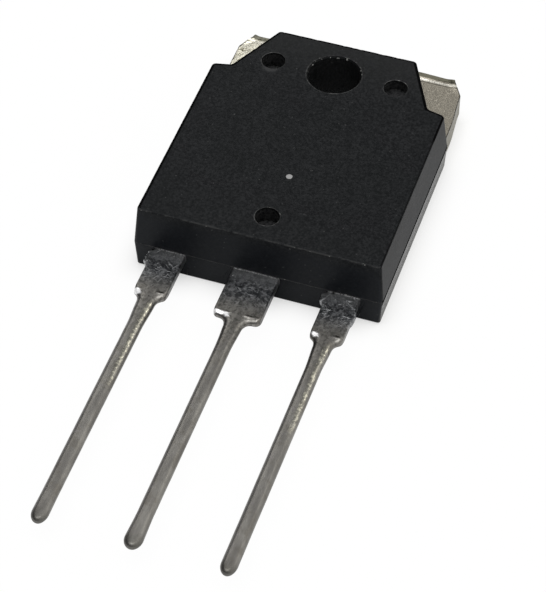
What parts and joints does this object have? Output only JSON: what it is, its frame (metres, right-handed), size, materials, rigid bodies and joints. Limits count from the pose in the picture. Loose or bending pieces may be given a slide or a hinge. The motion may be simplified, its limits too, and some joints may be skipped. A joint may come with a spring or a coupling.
{
  "type": "power transistor",
  "caption": "Flat black moulded power transistor with a screw hole, a bare metal back plate with two exposed ears and a row of long tinned leads.",
  "frame": {"origin": "axis of the screw hole on the seating plane, the bare back of the header plate", "axes": "+Z out of the moulded front face along the screw hole, +Y from the leads towards the plate's ears, +X to the right seen from the front with the leads down"},
  "size_m": [0.0156, 0.0408, 0.0048],
  "materials": {
    "moulding_compound": "fine matte grain",
    "plated_copper": "satin plated copper",
    "tinned_copper": "dipped in solder, mottled",
    "soft_solder": "dull solder",
    "silicon": "polished silicon",
    "bond_wire": "drawn wire"
  },
  "bodies": {
    "root": {"mould_body": "moulding_compound", "collector_header": "plated_copper", "base_lead": "tinned_copper", "emitter_lead": "tinned_copper", "die_solder": "soft_solder", "transistor_die": "silicon", "base_bond_wire": "bond_wire", "emitter_bond_wire": "bond_wire"}
  },
  "joints": []
}
